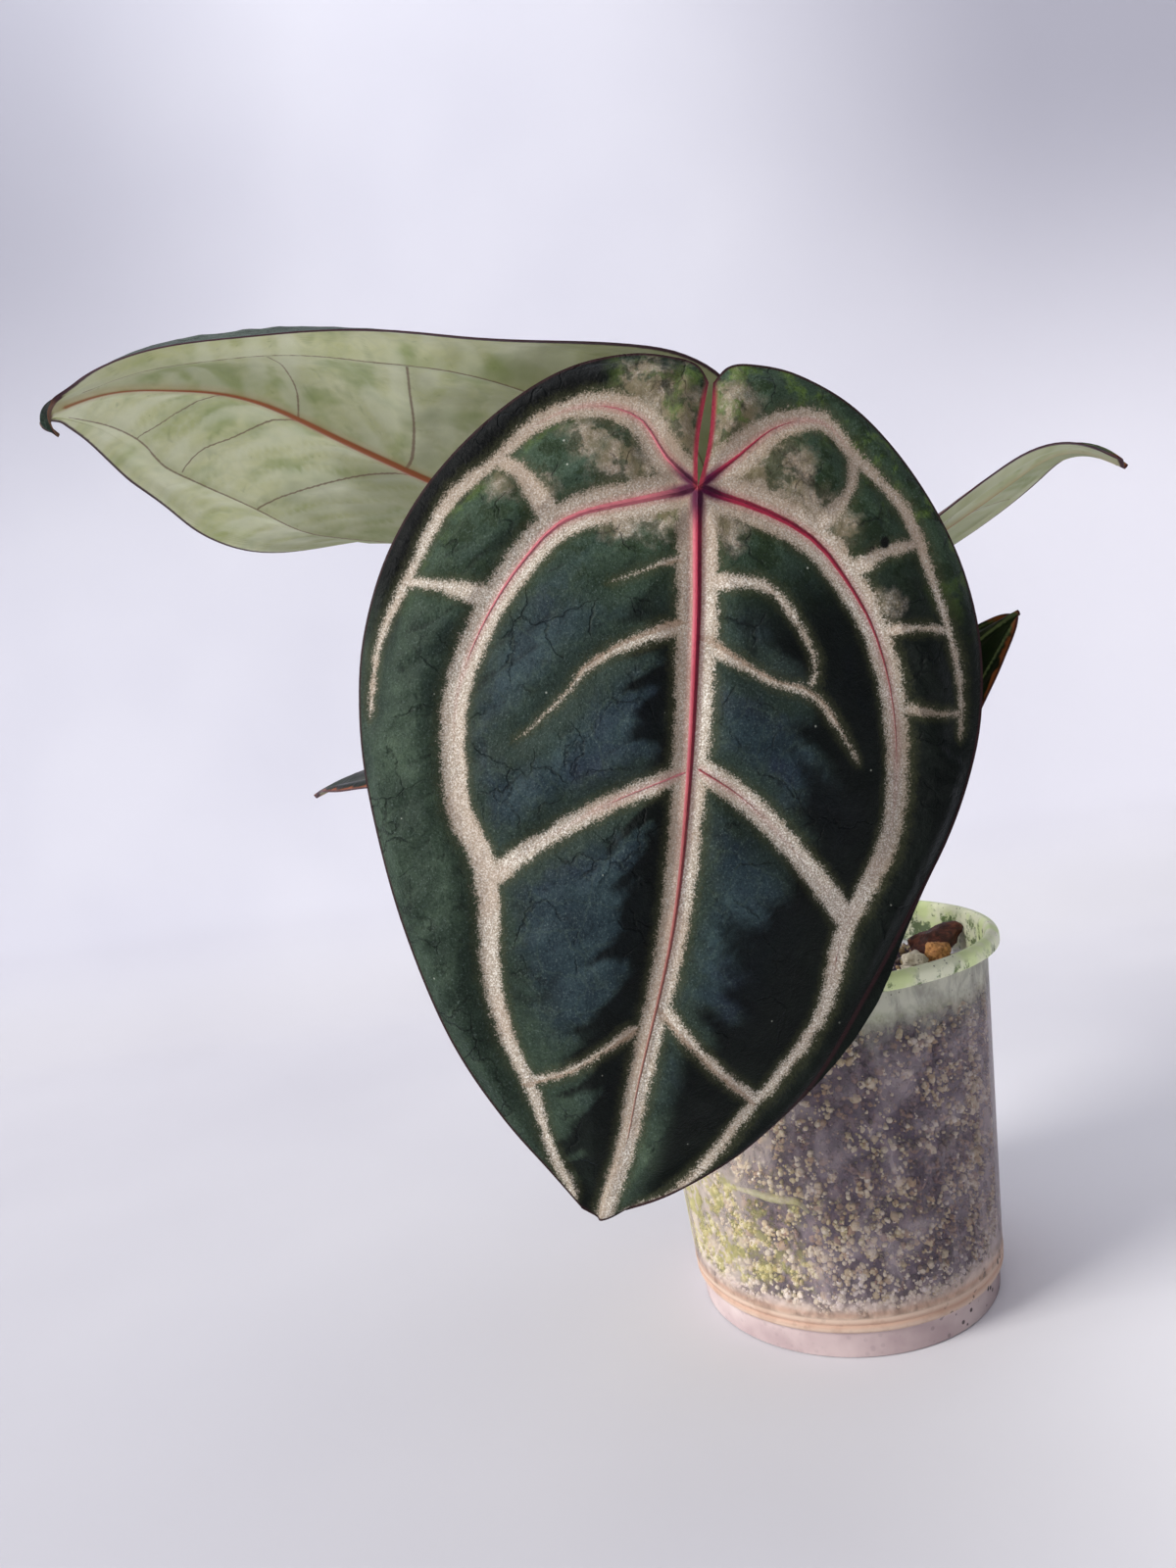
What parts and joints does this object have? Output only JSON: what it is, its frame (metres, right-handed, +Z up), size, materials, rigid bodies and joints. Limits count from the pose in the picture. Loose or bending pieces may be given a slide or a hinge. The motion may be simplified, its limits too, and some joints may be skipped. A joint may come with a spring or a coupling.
{
  "type": "potted anthurium hybrid",
  "caption": "Young velvet-leaved anthurium in a clear round cup of bark and perlite; large heart-shaped leaves on long petioles, one hanging in front of the cup.",
  "frame": {"origin": "middle of the plant's footprint rectangle, at the level of the cup's foot", "axes": "+Z up, +Y away from the viewer of the front leaf, +X to that viewer's right"},
  "size_m": [0.2868, 0.2062, 0.3031],
  "materials": {
    "clear_cup": "frosted clear, green with algae at the rim",
    "bark_mix": "loose bark, coco chips and perlite, damp",
    "crown_and_roots": "matt, fibrous",
    "bark": "matt, rough",
    "tan_stone": "matt, rough",
    "pumice": "matt, porous",
    "petiole": "smooth, waxy",
    "leaf": "velvety above with pale veins, sage green and waxy below"
  },
  "bodies": {
    "root": {"cup": "clear_cup", "soil": "bark_mix", "crown": "crown_and_roots", "bark_chip_large": "bark", "bark_chip_left": "bark", "bark_chip_back": "bark", "bark_chip_front": "bark", "tan_stone": "tan_stone", "pumice_middle": "pumice", "pumice_right": "pumice", "pumice_front": "pumice", "pumice_left": "pumice", "petiole_front": "petiole", "petiole_back_left": "petiole", "petiole_right_upper": "petiole", "petiole_right_middle": "petiole", "petiole_left_low": "petiole", "leaf_front": "leaf", "leaf_back_left": "leaf", "leaf_right_upper": "leaf", "leaf_right_middle": "leaf", "leaf_left_low": "leaf"}
  },
  "joints": []
}
